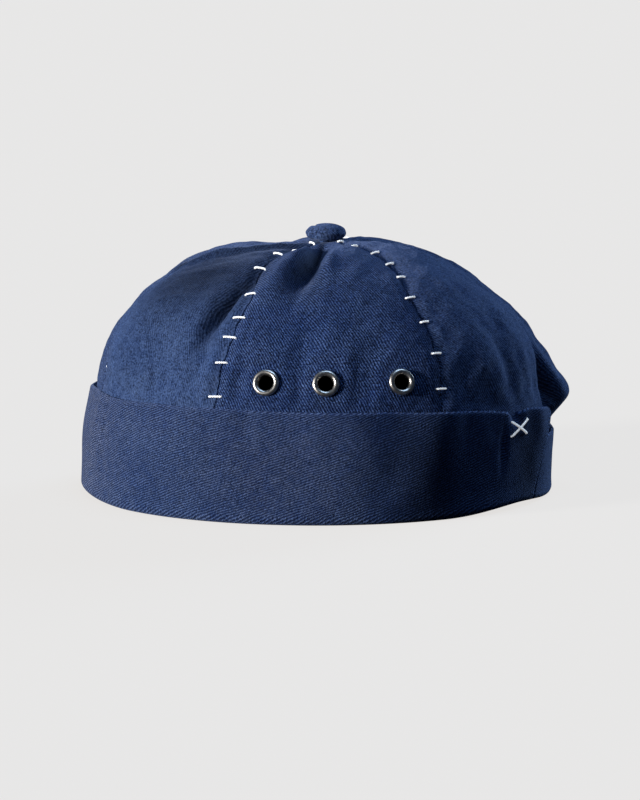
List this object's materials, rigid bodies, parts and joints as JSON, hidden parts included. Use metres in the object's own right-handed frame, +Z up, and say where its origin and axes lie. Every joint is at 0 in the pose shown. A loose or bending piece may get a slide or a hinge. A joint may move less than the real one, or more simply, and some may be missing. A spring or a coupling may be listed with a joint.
{
  "type": "sailor cap",
  "caption": "Brimless cotton sailor cap: a sewn panelled crown, a turned-up cuff open at the nape, a cloth-covered top button and metal vent eyelets.",
  "frame": {"origin": "middle of the cap's outline on the surface that its rim stands on", "axes": "+Z up through the top button, -X towards the forehead and +X towards the nape, -Y towards the wearer's left"},
  "size_m": [0.2096, 0.184, 0.1153],
  "materials": {
    "crown_twill": "washed navy cotton twill, matt with a soft fuzz",
    "cuff_twill": "doubled navy cotton twill with shallow diagonal wales",
    "eyelet_metal": "polished dark nickel",
    "white_thread": "thick white cotton thread of the hand stitches"
  },
  "bodies": {
    "root": {"panel_front_left": "crown_twill", "panel_left_side": "crown_twill", "panel_back_left": "crown_twill", "panel_back_right": "crown_twill", "panel_right_side": "crown_twill", "panel_front_right": "crown_twill", "cuff": "cuff_twill", "nape_band": "cuff_twill", "top_button": "crown_twill", "eyelet_left_front": "eyelet_metal", "eyelet_left_middle": "eyelet_metal", "eyelet_left_back": "eyelet_metal", "eyelet_right_front": "eyelet_metal", "eyelet_right_middle": "eyelet_metal", "eyelet_right_back": "eyelet_metal"}
  },
  "joints": []
}
